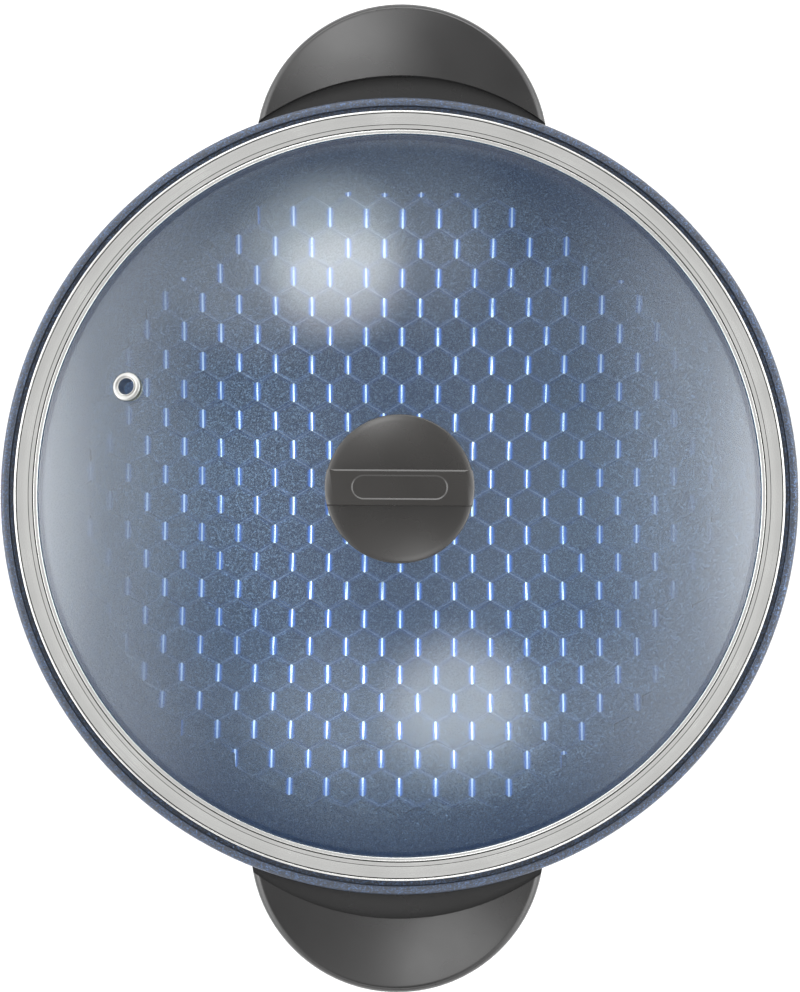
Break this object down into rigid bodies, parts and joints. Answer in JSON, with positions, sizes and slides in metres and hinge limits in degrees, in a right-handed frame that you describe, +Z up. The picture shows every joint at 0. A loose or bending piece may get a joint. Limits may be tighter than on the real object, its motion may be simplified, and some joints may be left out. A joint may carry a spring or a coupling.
{
  "type": "electric wok",
  "caption": "Round electric wok with a non-stick bowl, two side handles, a domed glass lid in a steel band, a vented base and a plug-in heat controller.",
  "frame": {"origin": "on the table under the bowl's axis", "axes": "+Z up along the bowl's axis, the two handles along Y, the controller plugs in from +X"},
  "size_m": [0.3799, 0.4732, 0.2268],
  "materials": {
    "coated_aluminium": "non-stick coating, blue with fine metallic flecks",
    "element_sheath": "heat-tinted steel sheath",
    "plated_steel": "zinc-plated",
    "stainless": "polished",
    "shield_steel": "aluminised",
    "black_moulding": "satin moulded phenolic",
    "soft_rubber": "matte",
    "silicone": "translucent silicone",
    "tempered_glass": "clear",
    "brass": "turned and plated",
    "white_moulding": "moulded heat-resistant",
    "spring_steel": "spring steel",
    "dial_moulding": "satin moulded",
    "amber_lens": "clear amber",
    "lamp_glass": "small neon lamp"
  },
  "bodies": {
    "root": {"wok_bowl": "coated_aluminium", "heating_element": "element_sheath", "terminal_pins": "plated_steel", "base_shell": "black_moulding", "rubber_feet": "soft_rubber", "base_screws": "plated_steel", "heat_shield": "shield_steel", "inlet_shroud": "black_moulding", "earth_strap": "plated_steel", "rear_handle": "black_moulding", "front_handle": "black_moulding", "handle_screws": "plated_steel"},
    "lid": {"lid_glass": "tempered_glass", "lid_rim": "stainless", "vent_eyelet": "stainless", "vent_gasket": "silicone", "knob_grip": "black_moulding", "knob_collar": "stainless", "knob_insert": "brass", "knob_seals": "silicone", "knob_washer": "stainless", "knob_screw": "stainless"},
    "controller": {"controller_lower": "black_moulding", "controller_upper": "black_moulding", "controller_screws": "plated_steel", "contact_block": "white_moulding", "contact_sleeves": "brass", "earth_spring": "spring_steel", "sensor_tube": "stainless", "thermostat_frame": "plated_steel", "switch_blades": "brass", "indicator_lens": "amber_lens", "indicator_lamp": "lamp_glass", "cord_gland": "soft_rubber", "trigger_pin": "plated_steel", "trigger_spring": "spring_steel"},
    "dial": {"temperature_dial": "dial_moulding", "dial_spindle": "brass"},
    "trigger": {"trigger_lever": "dial_moulding"}
  },
  "joints": [
    {"name": "lid_lift", "type": "slide", "parent": "root", "child": "lid", "axis": [0, 0, 1], "range_m": [0, 0.12]},
    {"name": "controller_pull", "type": "slide", "parent": "root", "child": "controller", "axis": [1, 0, 0], "range_m": [0, 0.11]},
    {"name": "dial_turn", "type": "hinge", "parent": "controller", "child": "dial", "pos_m": [0.14102, 0, 0.07], "axis": [0, 0, 1], "range_deg": [0, 270]},
    {"name": "trigger_squeeze", "type": "hinge", "parent": "controller", "child": "trigger", "pos_m": [0.12002, 0, 0.0185], "axis": [0, -1, 0], "range_deg": [0, 8], "stiffness_Nm_per_rad": 0.3}
  ]
}
